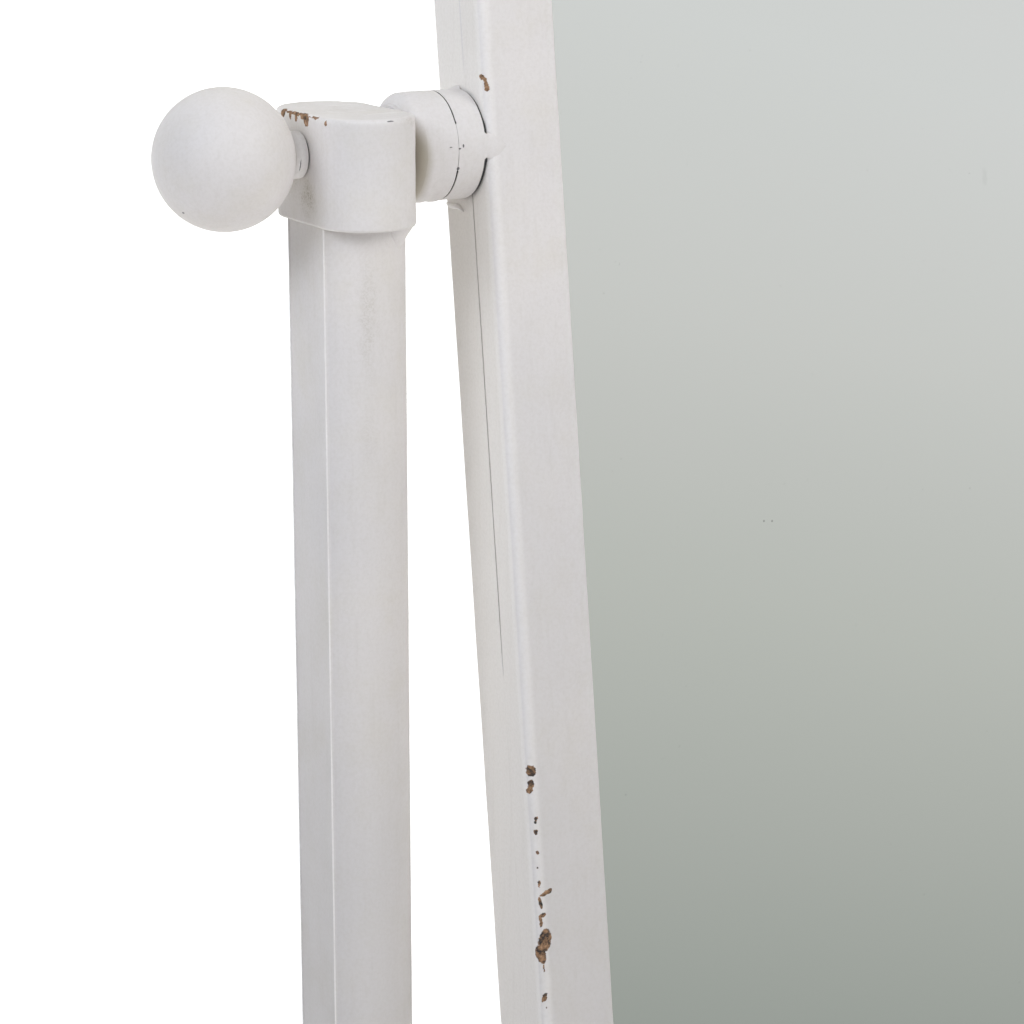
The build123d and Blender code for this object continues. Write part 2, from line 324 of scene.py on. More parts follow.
def ragged(nodes, where, amount, scale):
    """Coordinates shaken by so many millimetres, so that what is drawn with them has torn edges."""
    shake = nodes.noise(where, scale, 3.0, 0.65, "Color")
    centred = nodes.vector("SUBTRACT", shake, (0.5, 0.5, 0.5))
    return nodes.vector("ADD", where, nodes.vector("MULTIPLY", centred, (amount * MM * 2,) * 3))


def spot(nodes, where, centre, half, turn=(0, 0, 0)):
    """The distance from a ball's or an ellipsoid's centre: 1 on its surface, and less inside."""
    if isinstance(half, float):
        return nodes.math("DIVIDE", nodes.vector("DISTANCE", where, Vector(centre) * MM, "Value"), half * MM)
    place = {"Vector": where, "Location": Vector(centre) * MM, "Rotation": turn, "Scale": Vector(half) * MM}
    local = nodes.add("ShaderNodeMapping", place, vector_type="TEXTURE").outputs[0]
    return nodes.add("ShaderNodeVectorMath", {0: local}, operation="LENGTH").outputs["Value"]


def nearest_spot(nodes, where, spots):
    """The distance from the nearest of several spots, compared in pairs."""
    if len(spots) == 1:
        return spot(nodes, where, *spots[0])
    half = len(spots) // 2
    first, second = (nearest_spot(nodes, where, part) for part in (spots[:half], spots[half:]))
    return nodes.math("MINIMUM", first, second)


def mirror_glass():
    """Silvered glass with a little dust, a faint smudge and two specks."""
    dusty = (0.45, 0.46, 0.45)
    face = front_ahead - lip_thickness
    material, nodes, where = new_material("mirror_glass")
    smudge = nodes.noise(nodes.stretch(where, (4.0, 4.0, 9.0)), 1.0, 4.0, 0.6)
    tint = nodes.tint((0.855, 0.866, 0.856), (0.865, 0.870, 0.863), smudge, 0.35, 0.7)
    tint = nodes.tint(tint, dusty, nodes.noise(where, 700.0, 2.0, 0.5), 0.74, 0.80, 0.0, 0.25)
    breath = spot(nodes, ragged(nodes, where, 1.2, 300.0), on_mirror(-101.2, -23.8, face), (1.5, 4.0, 3.6))
    tint = nodes.tint(tint, dusty, breath, 1.2, 0.4, 0.0, 0.10)
    for across, up in ((-200.9, -133.7), (-197.6, -134.1)):
        speck = spot(nodes, where, on_mirror(across, up, face), 0.45)
        tint = nodes.tint(tint, (0.30, 0.31, 0.30), speck, 1.2, 0.6, 0.0, 0.5)
    shader = nodes.finish(base_color=tint, roughness=nodes.ramp(smudge, 0.3, 0.75, 0.02, 0.07))
    shader.inputs["Metallic"].default_value = 1.0
    return material


def steel(name, colour, rough):
    """Zinc plate: mottled grey with fine turning marks."""
    material, nodes, where = new_material(name)
    blotch = nodes.noise(where, 260.0, 5.0, 0.6)
    lathe = nodes.noise(nodes.stretch(where, (2600.0, 300.0, 300.0)), 1.0, 2.0)
    dark = tuple(c * 0.62 for c in colour)
    shader = nodes.finish(base_color=nodes.tint(colour, dark, blotch, 0.35, 0.7),
                          roughness=nodes.ramp(blotch, 0.3, 0.7, rough, rough + 0.2),
                          normal=nodes.bump(lathe, 0.0001, 0.5))
    shader.inputs["Metallic"].default_value = 1.0
    return material


def hardboard():
    """Brown pressed fibre board."""
    browns = ((0.30, (0.105, 0.060, 0.032)), (0.50, (0.205, 0.125, 0.070)), (0.72, (0.330, 0.220, 0.130)))
    material, nodes, where = new_material("hardboard")
    fibre = nodes.noise(nodes.stretch(where, (900.0, 900.0, 240.0)), 1.0, 6.0, 0.7)
    cloud = nodes.ramp(nodes.noise(where, 14.0, 4.0), 0.4, 0.7, 0.0, 0.35)
    nodes.finish(base_color=nodes.mix(cloud, nodes.colours(fibre, browns), (0.15, 0.09, 0.05)),
                 roughness=nodes.ramp(fibre, 0.3, 0.7, 0.55, 0.8), normal=nodes.bump(fibre, 0.0003, 0.6))
    return material


def plastic(name, colour, rough):
    """Moulded rubber or nylon, with a fine grain and a little dust."""
    material, nodes, where = new_material(name)
    grain = nodes.noise(where, 1500.0, 3.0)
    dust = nodes.noise(where, 90.0, 4.0)
    pale = tuple(c * 2.2 + 0.02 for c in colour)
    nodes.finish(base_color=nodes.tint(colour, pale, dust, 0.45, 0.75, 0.0, 0.5),
                 roughness=nodes.ramp(dust, 0.3, 0.7, rough, rough + 0.15),
                 normal=nodes.bump(grain, 0.0001, 0.5))
    return material


# ---- mesh helpers ----
class Solid:
    """A closed mesh built from rings of points, in millimetres.

    A point is (place, edge, dirt_and_shade), and the last two may be left out: edge is 1 on an edge that
    catches wear, and the paint makes it paler, thick paint and a painted highlight; dirt_and_shade is 1 down
    in a gap, where it darkens the paint as painted shade, and smaller values brown corners as dirt and
    painted shadow.
    """

    def __init__(self):
        self.mesh = bmesh.new()
        self.edge = self.mesh.verts.layers.float.new("edge")
        self.dirt_and_shade = self.mesh.verts.layers.float.new("dirt_and_shade")

    def add(self, rings, loop=False):
        """Join each ring to the next. A loop joins up with itself, and otherwise the ends are closed."""
        made = []
        for ring in rings:
            row = []
            for place, *marks in ring:
                vertex = self.mesh.verts.new(Vector(place) * MM)
                vertex[self.edge], vertex[self.dirt_and_shade] = (*marks, 0.0, 0.0)[:2]
                row.append(vertex)
            made.append(row)
        for first, second in zip(made, made[1:] + (made[:1] if loop else [])):
            for i in range(len(first)):
                self.mesh.faces.new((first[i - 1], first[i], second[i], second[i - 1]))
        if not loop:
            self.mesh.faces.new(list(reversed(made[0])))
            self.mesh.faces.new(made[-1])
        return self

    def relief(self, amount, grain, seed=0.0):
        """Push the surface in and out by a little, as brushed paint over worn metal does."""
        self.mesh.normal_update()
        shift = Vector((seed, seed * 1.7, seed * 0.6))
        for vertex in self.mesh.verts:
            lift = noise.fractal(vertex.co / (grain * MM) + shift, 1.0, 2.0, 3)
            vertex.co += vertex.normal * lift * amount * MM
        return self

    def to_object(self, name):
        bmesh.ops.recalc_face_normals(self.mesh, faces=self.mesh.faces)
        mesh = bpy.data.meshes.new(name)
        self.mesh.to_mesh(mesh)
        self.mesh.free()
        made = bpy.data.objects.new(name, mesh)
        bpy.context.scene.collection.objects.link(made)
        return made

    def piece(self, name, material, node=None, body="stand", slot="cream_paint", sharp=50.0):
        """Turn the mesh into a finished object that rides on a body, and may replace a CAD node."""
        made = self.to_object(name)
        made.data.materials.append(material)
        made.data.shade_smooth()
        made.data.set_sharp_from_angle(angle=radians(sharp))
        made.modifiers.new("even_normals", "WEIGHTED_NORMAL").keep_sharp = True
        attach(made, body)
        if node:
            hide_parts(node)
        return made


def steps(start, end, longest):
    """Evenly spaced values from start to end, no further apart than the longest step."""
    count = max(1, int(abs(end - start) / longest + 0.999))
    return [start + (end - start) * i / count for i in range(count + 1)]


def arc(centre, radius, start, end, count):
    """Points on an arc in a plane, from one angle in degrees to another."""
    turns = [radians(start + (end - start) * i / count) for i in range(count + 1)]
    return [(centre[0] + radius * cos(a), centre[1] + radius * sin(a)) for a in turns]


def circle(count):
    """Points round a unit circle, as (cos, sin)."""
    turns = [2 * pi * k / count for k in range(count)]
    return [(cos(a), sin(a)) for a in turns]


def smooth(low, high, value):
    """0 below low and 1 above high, with a smooth rise between."""
    t = min(1.0, max(0.0, (value - low) / (high - low)))
    return t * t * (3 - 2 * t)


def within(value, low, high, soft):
    """1 between low and high, falling to 0 over a soft distance outside."""
    return smooth(low - soft, low, value) * (1 - smooth(high, high + soft, value))


def turned(side, profile, count=96, adjust=None, bored=True):
    """A Solid turned about the tilt axis from (out, radius, edge, dirt_and_shade) points.

    adjust changes a point by its angle. The profile of a bored one is a closed loop.
    """
    rings = []
    for out, radius, *marks in profile:
        edge, dirt_and_shade = (*marks, 0.0, 0.0)[:2]
        ring = []
        for k in range(count):
            angle = -pi + 2 * pi * k / count
            place = adjust(out, radius, dirt_and_shade, angle) if adjust else (out, radius, dirt_and_shade)
            ring.append((on_axis(side, *place[:2], angle), edge, place[2]))
        rings.append(ring)
    return Solid().add(rings, loop=bored)


# ---- posts ----
bead_half = 0.42
bead_height = 0.42
bead_beside = 0.95


def crease_points(crease, radius, beads):
    """The raised line at the crease between a flat and the round, from the flat to the round."""
    corner = Vector((radius * cos(crease), radius * sin(crease)))
    outward = Vector((cos(crease / 2), sin(crease / 2)))
    along_flat = Vector((0, -1))
    along_round = Vector((-sin(crease), cos(crease)))
    points = []
    for direction, order in ((along_flat, (1.0, 0.5, 0.2)), (along_round, (0.2, 0.5, 1.0))):
        for share in order:
            p = corner + direction * share * bead_half + outward * beads * sqrt(1 - share**2)
            points.append((p.x, p.y, 1.0 if share < 1.0 else 0.3))
    beside = crease + bead_beside / radius
    return points + [(radius * cos(beside), radius * sin(beside), 0.0)]


def flattened_outline(inset=0.0, beads=0.0):
    """The post's outline from the back of its +x flat, anticlockwise, as (x, y, edge).

    A round tube pressed flat on both sides, with a thin raised line down each crease.
    """
    radius = post_radius - inset
    flat = post_half_flat - inset
    reach = sqrt(radius**2 - flat**2)
    crease = atan2(reach, flat)
    raised = crease_points(crease, radius, beads)
    beside = crease + bead_beside / radius
    around = [(flat, (reach - bead_beside) * (k / 4 - 1), 0.0) for k in range(9)] + raised
    for a in steps(beside, pi - beside, (pi - 2 * beside) / 20)[1:-1]:
        around.append((radius * cos(a), radius * sin(a), 0.0))
    around += [(-x, y, edge) for x, y, edge in reversed(raised)]
    return around + [(-x, -y, edge) for x, y, edge in around]


def make_post(side, material):
    x = sides[side] * post_x
    wall = 2.0
    # painted shade at the feet of each raised crease line; the bead's edge mark paints it paler as a
    # highlight
    rings = [[((x + px, py, z), edge, 0.10 if edge == 0.3 else 0.0)
              for px, py, edge in flattened_outline(0.0, bead_height)]
             for z in steps(tube_low.z, tube_high.z, 5.0)]
    # painted shade: the inside wall of the tube is painted near black
    rings += [[((x + px, py, z), 0.0, 1.0) for px, py, _ in flattened_outline(wall)]
              for z in steps(tube_high.z, tube_low.z, 120.0)]
    post = Solid().add(rings, loop=True).relief(0.05, 14.0, seed=3.1 + sides[side])
    return post.piece(f"{side}_post", material, f"{side}_post_tube", sharp=60.0)


# ---- caps ----
def obround(inset, count):
    """The cap's outline, anticlockwise from the front of its +x flat, as (x, y)."""
    half = cap_half - inset
    points = [(half, y) for y in steps(-cap_reach, cap_reach, 2.4)[:-1]]
    points += arc((0, cap_reach), half, 0, 180, count)
    points += [(-half, y) for y in steps(cap_reach, -cap_reach, 2.4)[1:-1]]
    points += arc((0, -cap_reach), half, 180, 360, count)[:-1]
    return points


def make_cap(side, material):
    """A block with a socket for the post, a bore for the stud, and soft hand-filed edges."""
    x = sides[side] * post_x
    top_radius = 1.3
    low_radius = 1.0
    socket = 12.0
    levels = [(3.0, cap_low.z)]
    levels += arc((low_radius, cap_low.z + low_radius), low_radius, 270, 180, 4)
    levels += [(0.0, z) for z in steps(cap_low.z + low_radius, cap_high.z - top_radius, 2.5)[1:]]
    levels += arc((top_radius, cap_high.z - top_radius), top_radius, 180, 90, 5)[1:]
    levels += [(inset, cap_high.z) for inset in (3.0, 6.0, 9.0, 12.0, 14.5)]
    rings = []
    for inset, z in levels:
        # the edge mark on the top rim and the inner front creases paints them paler: thick paint and a
        # painted highlight
        rounded = 0.62 if z > cap_high.z - top_radius - 0.5 and inset < top_radius + 0.1 else 0.0
        ring = []
        for px, py in obround(inset, 28):
            creased = abs(abs(py) - cap_reach) < 0.05 and px * sides[side] < 0.05 - cap_half + inset
            ring.append(((x + px, py, z), 1.0 if creased else rounded))
        rings.append(ring)
    solid = Solid().add(rings).relief(0.16, 9.0, seed=7.3 + sides[side])
    cap = solid.piece(f"{side}_cap", material, f"{side}_post_cap")
    bore = [[(on_axis(side, out, stud_bore, 2 * pi * k / 40),) for k in range(40)]
            for out in (-cap_half - 2, cap_half + 2)]
    well = [[((x + px, py, z),) for px, py, _ in flattened_outline()]
            for z in (cap_low.z - 2, cap_low.z + socket)]
    return carve(cap, *(Solid().add(rings).to_object("cutter") for rings in (bore, well)))


def carve(made, *cutters):
    """Take the cutters out of a piece, and delete them."""
    made.modifiers.clear()
    for tool in cutters:
        cut = made.modifiers.new("cut", "BOOLEAN")
        cut.operation = "DIFFERENCE"
        cut.solver = "EXACT"
        cut.object = tool
    graph = bpy.context.evaluated_depsgraph_get()
    carved = bpy.data.meshes.new_from_object(made.evaluated_get(graph))
    made.modifiers.clear()
    made.data = carved
    carved.set_sharp_from_angle(angle=radians(50))
    made.modifiers.new("even_normals", "WEIGHTED_NORMAL").keep_sharp = True
    for tool in cutters:
        bpy.data.objects.remove(tool)
    return made


def cap_distance(angle):
    """How far the cap's outline is from the post's centre line at an angle round it."""
    far = cap_half / abs(cos(angle))
    if abs(far * sin(angle)) > cap_reach:
        across = cap_reach * abs(sin(angle))
        far = across + sqrt(across**2 - cap_reach**2 + cap_half**2)
    return far


def make_cap_weld(side, material):
    """A lump of weld and paint in the corner under the cap, at its inner front edge."""
    x = sides[side] * post_x
    rings = []
    for share in steps(0.0, 1.0, 0.04):
        size = sin(pi * (0.04 + 0.92 * share)) ** 0.7
        angle = radians(-36 - 34 * share)
        near = Vector((min(post_radius * cos(angle), post_half_flat), post_radius * sin(angle)))
        away = near.normalized()
        drop = 7.6 * size
        reach = min(5.2 * size, cap_distance(angle) - near.length - 0.2)
        section = [(-0.6, 0.6), (reach, 0.6), (reach, -0.1)]
        section += [(reach * (1 - t) ** 1.25 + 0.12, -drop * t) for t in steps(0.0, 1.0, 0.15)[1:-1]]
        section += [(0.0, -drop), (-0.6, -drop)]
        points = [(near + away * far, z) for far, z in section]
        rings.append([((x - sides[side] * p.x, p.y, cap_low.z + z),) for p, z in points])
    weld = Solid().add(rings).relief(0.15, 2.5, seed=1.4)
    return weld.piece(f"{side}_cap_weld", material, sharp=80.0)


# ---- pivot: knob, ferrule, collar and boss ----
def make_knob(side, material):
    flat = ferrule_far
    start = atan2(ferrule_radius, flat - knob_out)
    deep = knob_out - 8.0
    hole = stud_bore - 0.05
    skin = knob_radius - 0.06
    profile = [(deep, 1.0), (deep, hole), (flat, hole), (flat, ferrule_radius - 0.4)]
    profile += [(knob_out + skin * cos(a), skin * sin(a), 0.15) for a in steps(start, pi - 0.03, 0.05)]
    knob = turned(side, profile, 112, bored=False).relief(0.06, 22.0, seed=5.5 + sides[side])
    return knob.piece(f"{side}_knob", material, f"{side}_ball_knob", body=f"{side}_knob")


def make_ferrule(side, material):
    edge_radius = 0.7
    rim = arc((ferrule_near - edge_radius, ferrule_radius - edge_radius), edge_radius, 0, 90, 5)
    waist = (ferrule_near + ferrule_far) / 2
    profile = [(ferrule_near, stud_bore)] + [(*point, 0.6) for point in rim]
    # thick paint and a painted highlight on the rim and the waist, from their edge marks; the foot against
    # the cap is darkened as painted shade
    profile += [(waist, ferrule_radius + 0.05, 0.8), (ferrule_far + 0.25, ferrule_radius, 0.6),
                (ferrule_far, ferrule_radius - 0.3, 0, 0.8), (ferrule_far, stud_bore)]
    ferrule = turned(side, profile, 72).relief(0.04, 5.0, seed=2.2)
    return ferrule.piece(f"{side}_ferrule", material, f"{side}_knob_ferrule", body=f"{side}_ferrule")


def rim(centre, radius, start, end, worn):
    """A rounded rim on round bar that faces a gap, as (out, radius, edge, dirt_and_shade): its face by the
    gap is painted dark as shade.
    """
    face = centre[0] + (radius if end == 0 else -radius)
    return [(x, y, worn, 0.9 if abs(x - face) < 0.01 else 0) for x, y in arc(centre, radius, start, end, 3)]


def make_collar(side, material):
    """Round bar against the cap: a rolled shoulder, a faint step, and runs of paint along its underside. The
    shoulder by the cap is browned as the cap's painted shadow, and the face at the gap is painted dark as
    shade.
    """
    shoulder = 3.5
    neck = 1.2
    # painted shadow: the shoulder by the cap is browned, fading away from it
    profile = [(collar_start, stud_bore), (collar_start, collar_radius - shoulder - 0.5, 0, 0.50)]
    for out, radius in arc((collar_start + neck + shoulder, collar_radius - shoulder), shoulder, 180, 90, 10):
        profile.append((out, radius - 0.12, 0.1, 0.50 - 0.035 * (out - collar_start)))
    step = collar_start + 6.0
    profile += [(step - 1.4, collar_radius - 0.12, 0, 0.30), (step, collar_radius - 0.12, 0, 0.19),
                (step + 0.8, collar_radius, 0.2, 0.12)]
    profile += [(out, collar_radius) for out in steps(step + 2, collar_end - 1.2, 1.6)]
    profile += rim((collar_end - 0.3, collar_radius - 0.3), 0.3, 90, 0, 0.3)
    profile += [(collar_end, collar_radius - 1.4, 0, 1), (collar_end, stud_bore, 0, 1)]

    def runs(out, radius, dirt_and_shade, angle):
        under = within(angle, radians(-125), radians(-55), 0.3)
        along = out - collar_start
        bridged = within(angle, radians(-20), radians(28), 0.04)
        if out > collar_end - 0.4 and radius > collar_radius - 0.5:
            radius += bridged * (collar_radius - radius)
        if radius > collar_radius - 1.0 and along > 2.5:
            radius += under * 0.45 * (0.5 + 0.5 * sin(along * 1.35 + 3.0 * angle))
        # the cap's painted shadow narrows towards the top; where paint bridges the gap there is no painted
        # shade
        if along < 7.0:
            dirt_and_shade *= 1 - 0.95 * smooth(radians(8 - 3 * along), radians(58 - 3 * along), angle)
        elif bridged > 0.5:
            dirt_and_shade = 0.0
        return out, radius, dirt_and_shade

    collar = turned(side, profile, 128, runs).relief(0.07, 8.0, seed=4.0)
    return collar.piece(f"{side}_collar", material, f"{side}_fixed_collar")


def make_boss(side, material):
    """Round bar welded to the mirror. Paint bridges its gaps in places, and a weld rolls onto the tube. Its
    faces in the gaps and the spigot between them are painted near black as shade, except where paint or the
    weld fills them.
    """
    touch = post_x - half_width
    end = boss_end - 0.5
    # painted shade: the faces in the gaps and the spigot between are painted near black
    profile = [(boss_start, stud_bore, 0, 1), (boss_start, collar_radius - 1.4, 0, 1)]
    profile += rim((boss_start + 0.3, collar_radius - 0.3), 0.3, 180, 90, 0.3)
    profile += [(out, collar_radius) for out in steps(boss_start + 1.4, end - 1.2, 1.2)]
    profile += [(out, radius, 0.2, 0.9 if out > end - 0.25 else 0)
                for out, radius in arc((end - 0.35, collar_radius - 0.35), 0.35, 90, 0, 4)]
    profile += [(end, collar_radius - 0.5, 0, 1), (touch + 0.2, collar_radius - 0.55, 0, 1),
                (touch + 0.2, stud_bore, 0, 1)]

    def welds(out, radius, dirt_and_shade, angle):
        turn = angle * 180 / pi
        bridge_near = within(turn, -20, 28, 2)
        narrowed = 0.6 * smooth(28, 34, turn) * (1 - smooth(70, 95, turn)) + 0.35 * within(turn, -90, -24, 3)
        bridge_far = within(turn, -7, 15, 3)
        gaping = within(turn, -78, -14, 12)
        rolled = max(smooth(88, 95, turn) * (1 - smooth(143, 163, turn)), 0.5 * within(turn, -143, -105, 20))
        outer = radius > collar_radius - 1.5
        near = boss_start + 0.3
        if outer and out <= near:
            out -= max(bridge_near, narrowed) * (boss_start - collar_end - 0.15)
            radius += bridge_near * (collar_radius - radius) * smooth(boss_start - 0.7, near - 0.7, out)
            if bridge_near > 0.5:
                dirt_and_shade = 0.0
        if outer and out > end - 4.0:
            share = smooth(end - 4.0, end, out)
            out += (max(rolled, bridge_far) * 0.5 - (gaping * 0.35 if out < end + 0.01 else 0)) * share
            radius += (rolled * 1.1 + bridge_far * 0.25) * share * share
            if max(rolled, bridge_far) > 0.5:
                dirt_and_shade = 0.0
        return out, radius, dirt_and_shade

    boss = turned(side, profile, 180, welds).relief(0.07, 7.0, seed=9.0)
    return boss.piece(f"{side}_boss", material, f"{side}_frame_boss", body="mirror")


def make_smear(side, material):
    """A smear of weld and paint that runs from the boss onto the front of the moulding."""
    rings = []
    for share in steps(0.0, 1.0, 0.05):
        size = sin(pi * (0.04 + 0.92 * share)) ** 0.6
        across = sides[side] * (half_width + 2.2 - 8.6 * share)
        tall = 4.9 * size * (1 - 0.25 * share)
        deep = 0.55 + 0.50 * size
        rings.append([(on_mirror(across, -1.2 + tall * s, front_ahead - 0.62 + deep * c),)
                      for c, s in circle(16)])
    smear = Solid().add(rings).relief(0.10, 3.0, seed=6.6)
    return smear.piece(f"{side}_boss_smear", material, body="mirror", sharp=80.0)


def make_curl(side, material):
    """A curled lip of paint hanging under the boss, on the side of the rear tube. All of it carries the edge
    mark, so it is painted paler, painted light where the boss shades it.
    """
    rings = []
    for share in steps(0.0, 1.0, 0.05):
        size = sin(pi * (0.03 + 0.94 * share)) ** 0.6
        ahead = -13.0 + 11.5 * share
        up = -19.0 - 3.0 * share**1.6 - 0.5 * sin(6.0 * share)
        section = [(half_width + 0.1 + 1.3 * size * c, up + 0.85 * size * s) for c, s in circle(12)]
        # painted light: the edge mark of 1 paints the whole curl paler
        rings.append([(on_mirror(sides[side] * across, high, ahead), 1.0) for across, high in section])
    curl = Solid().add(rings).relief(0.10, 2.5, seed=8.8)
    return curl.piece(f"{side}_paint_curl", material, body="mirror", sharp=80.0)


# ---- mirror frame ----
edges = ("bottom", "right", "top", "left")


def corners(inset):
    """The mirror's corners moved inwards, anticlockwise from the lower left, as (across, up)."""
    across = half_width - inset
    low = inset - below_axis
    high = above_axis - inset
    return [(-across, low), (across, low), (across, high), (-across, high)]


def mitred(edge, profile, longest=5.0):
    """A Solid with mitred ends along one edge of the mirror, from (inset, ahead, edge, dirt_and_shade)
    points.
    """
    first = edges.index(edge)
    second = (first + 1) % 4
    outer = corners(0)
    length = sqrt(sum((a - b) ** 2 for a, b in zip(outer[first], outer[second])))
    rings = []
    for share in steps(0.0, 1.0, longest / length):
        ring = []
        for inset, ahead, *marks in profile:
            worn, dirt_and_shade = (*marks, 0.0, 0.0)[:2]
            up = corners(inset)[first][1] * (1 - share) + corners(inset)[second][1] * share
            inset, dirt_and_shade = seam_shape(edge, inset, ahead, dirt_and_shade, up)
            spot_on = Vector(corners(inset)[first]).lerp(Vector(corners(inset)[second]), share)
            ring.append((on_mirror(*spot_on, ahead), worn, dirt_and_shade))
        rings.append(ring)
    return Solid().add(rings)


groove_deep = 1.6
open_from = -166.0
open_to = -15.0
bead_from = 20.0
filler_proud = 0.48


def seam_shape(edge, inset, ahead, dirt_and_shade, up):
    """The joint between the moulding and the rear tube, by height: an open gap, then filled with paint.

    Above the boss the filler stands proud. The points that it moves are those beside the joint. The open gap
    is painted dark and the filled joint faintly, as painted shade, and above the boss the left stile's side
    gets a faint grey band of painted shade.
    """
    beside = abs(ahead - seam_ahead)
    if inset > groove_deep + 0.1 or beside > 0.5:
        # painted shade: a faint grey band on the left stile's side above the boss
        on_side = inset < 0.1 and seam_ahead < ahead < front_ahead - 2.0
        side_shade = 0.10 * smooth(bead_from, bead_from + 12, up) if on_side and edge == "left" else 0.0
        return inset, max(dirt_and_shade, side_shade)
    upright = edge in ("left", "right")
    opened = within(up, open_from, open_to, 5.0) if upright else 0.0
    proud = filler_proud * (smooth(bead_from, bead_from + 5, up) if upright else 0.3)
    crest = 1.0 if inset > 0 else 0.75
    # painted shade: a faint dark line along the filled joint, fainter above the boss
    closed_seam_shade = 0.03 if up > bead_from else 0.13
    return inset * opened - crest * proud * (1 - opened), dirt_and_shade * max(opened, closed_seam_shade)


def rounded_corner(centre, radius, start, end, count, worn):
    return [(*point, worn) for point in arc(centre, radius, start, end, count)]


def spaced(start, end, longest=3.5):
    """Points between two corners of a profile, without the corners themselves."""
    length = sqrt((end[0] - start[0]) ** 2 + (end[1] - start[1]) ** 2)
    shares = steps(0.0, 1.0, longest / length)[1:-1]
    return [tuple(a + (b - a) * share for a, b in zip(start, end)) for share in shares]


def moulding_profile():
    outer = 2.4
    lip_edge = 0.8
    back = front_ahead - lip_thickness
    rabbet = moulding_width - lip_width
    # painted shade: the bottom and the lips of the groove at the joint are darkened
    points = [(groove_deep, seam_ahead + 0.01, 0.0, 1.0), (0.0, seam_ahead + 0.28, 0.2, 0.12),
              (0.0, seam_ahead + 0.85)]
    points += spaced((0, seam_ahead + 0.85), (0, front_ahead - outer))
    points += rounded_corner((outer, front_ahead - outer), outer, 180, 90, 9, 1.0)
    points += spaced((outer, front_ahead), (moulding_width - lip_edge, front_ahead))
    points += rounded_corner((moulding_width - lip_edge, front_ahead - lip_edge), lip_edge, 90, 0, 5, 0.35)
    points += [(moulding_width, back, 0.0, 0.4), (rabbet, back, 0.0, 0.6), (rabbet, seam_ahead)]
    return points


def tube_profile():
    edge_radius = 1.6
    back = seam_ahead - tube_size
    # painted shade: the lips and the bottom of the groove at the joint are darkened
    points = [(0.0, seam_ahead - 0.85), (0.0, seam_ahead - 0.28, 0.2, 0.12),
              (groove_deep, seam_ahead - 0.01, 0.0, 1.0), (tube_size, seam_ahead)]
    points += spaced((tube_size, seam_ahead), (tube_size, back + edge_radius))
    points += rounded_corner((tube_size - edge_radius, back + edge_radius), edge_radius, 0, -90, 5, 0.8)
    points += spaced((tube_size - edge_radius, back), (edge_radius, back))
    points += rounded_corner((edge_radius, back + edge_radius), edge_radius, -90, -180, 5, 0.8)
    points += spaced((0, back + edge_radius), (0, seam_ahead - 0.85))
    return points


def make_frame(paints):
    for edge in edges:
        kind = "rail" if edge in ("top", "bottom") else "stile"
        paint_here = paints.get(edge, paints["frame"])
        for part, profile in (("moulding", moulding_profile()), ("rear_tube", tube_profile())):
            bar = mitred(edge, profile).relief(0.05, 16.0, seed=1.0 if part == "moulding" else 2.0)
            bar.piece(f"{edge}_{part}", paint_here, f"{edge}_{part}_{kind}", body="mirror")


# ---- glass, board, clips and screws ----
side_clips = (-520.0, 0.0, 480.0)
end_clips = (-150.0, 150.0)
clip_sheet = 1.2


def make_glass(material):
    """Plate glass with a ground arris, silvered behind."""
    inset = moulding_width - lip_width + 1.0
    back = front_ahead - lip_thickness - 4.0
    arris = 0.7
    levels = ((arris, 0.0), (0.0, arris), (0.0, 4.0 - arris), (arris, 4.0))
    glass = Solid().add([[(on_mirror(*corner, back + ahead),) for corner in corners(inset + cut)]
                         for cut, ahead in levels])
    return glass.piece("mirror_glass_sheet", material, "mirror_glass", "mirror", "mirror_glass", 20.0)


def clip_places():
    """Each clip's edge of the mirror, with its place on the rear tube's inner wall."""
    inner = half_width - tube_size
    places = [("left", -inner, up) for up in side_clips] + [("right", inner, up) for up in side_clips]
    places += [("bottom", across, tube_size - below_axis) for across in end_clips]
    return places + [("top", across, above_axis - tube_size) for across in end_clips]


inwards = {"left": (1, 0), "right": (-1, 0), "bottom": (0, 1), "top": (0, -1)}


def make_clips(material):
    """Folded steel angles that hold the board, each under a pan-head screw with a crossed recess."""
    clips = Solid()
    screws = Solid()
    leg = 11.0
    width = 16.0
    for edge, across, up in clip_places():
        inward = Vector(inwards[edge])
        along = Vector((-inward.y, inward.x))
        base = Vector((across, up))
        bend = 1.6
        outline = [(0.0, 0.0), (leg, 0.0), (leg, -clip_sheet)]
        outline += arc((clip_sheet + bend, -clip_sheet - bend), bend, 90, 180, 5)
        outline += [(clip_sheet, -leg), (0.0, -leg)]
        rings = []
        for share, trim in ((-0.5, 0.35), (-0.48, 0.0), (-0.2, 0.0), (0.2, 0.0), (0.48, 0.0), (0.5, 0.35)):
            ring = []
            for k, (off, ahead) in enumerate(outline):
                pull = trim if k in (1, 2, len(outline) - 1, len(outline) - 2) else 0.0
                off = off - pull if off > leg - 0.1 else off
                ahead = ahead + pull if ahead < 0.1 - leg else ahead
                p = base + inward * off + along * width * share
                ring.append((on_mirror(*p, seam_ahead + ahead), 0.3))
            rings.append(ring)
        clips.add(rings)
        add_screw(screws, base, inward, along)
    clips.piece("backing_clips", material, "board_clips", "mirror", "zinc_steel", 35.0)
    screws.piece("clip_pan_screws", material, "clip_screws", "mirror", "zinc_steel", 35.0)


